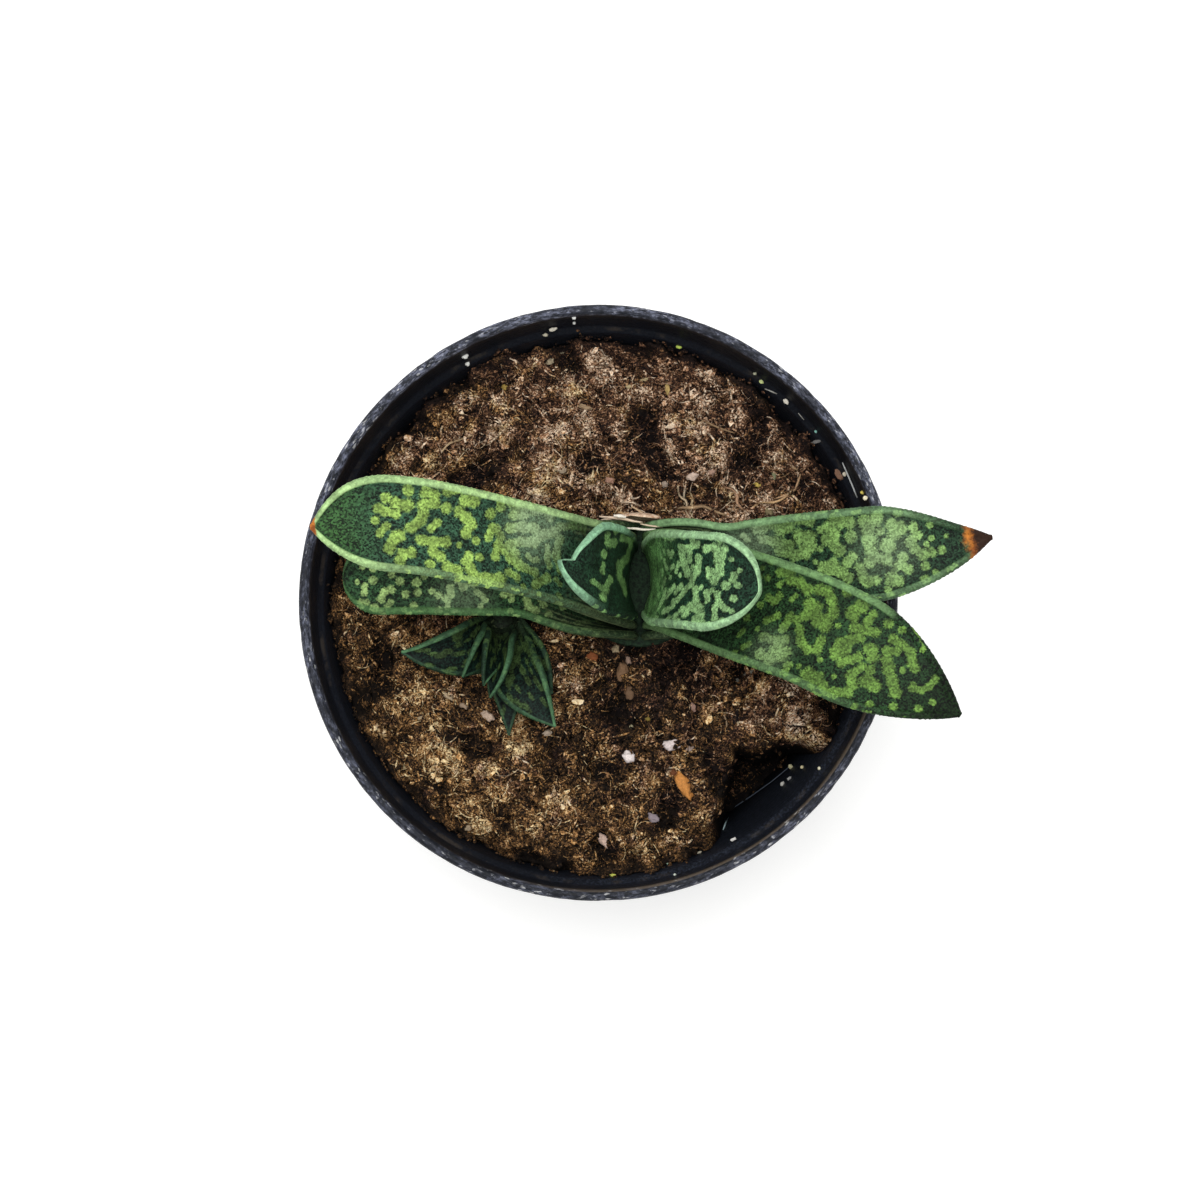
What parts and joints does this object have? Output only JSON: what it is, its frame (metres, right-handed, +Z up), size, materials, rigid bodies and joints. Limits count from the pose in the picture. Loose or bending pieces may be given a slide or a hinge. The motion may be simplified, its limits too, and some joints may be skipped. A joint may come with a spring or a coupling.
{
  "type": "potted gasteria",
  "caption": "Round tapered nursery pot of peat mix with a gasteria: two opposite ranks of thick tongue-shaped leaves on a short crown, and a small leafy offset beside them.",
  "frame": {"origin": "centre of the pot's flat base, on the plane that it stands on", "axes": "+Z up along the pot's axis, +X towards the tips of the right rank of leaves, +Y away from the side with the offset"},
  "size_m": [0.1202, 0.105, 0.1258],
  "materials": {
    "black_plastic": "black moulded polypropylene, satin, scuffed and dusty round the lip",
    "peat_mix": "dry fibrous peat with crumbs, chips and dark gaps",
    "spotted_leaf": "dark green fleshy leaf with pale yellow-green blotches, faintly grainy and slightly waxy",
    "offset_leaf": "darker young leaf with pale margins",
    "crown_tissue": "brownish green crown",
    "dry_leaf": "dry papery leaf remains"
  },
  "bodies": {
    "root": {"pot": "black_plastic", "potting_mix": "peat_mix", "stem": "crown_tissue", "leaf_left_outer": "spotted_leaf", "leaf_left_middle": "spotted_leaf", "leaf_left_inner": "spotted_leaf", "leaf_right_outer": "spotted_leaf", "leaf_right_middle": "spotted_leaf", "leaf_right_inner": "spotted_leaf", "dry_sheath": "dry_leaf", "offset": "offset_leaf"}
  },
  "joints": []
}
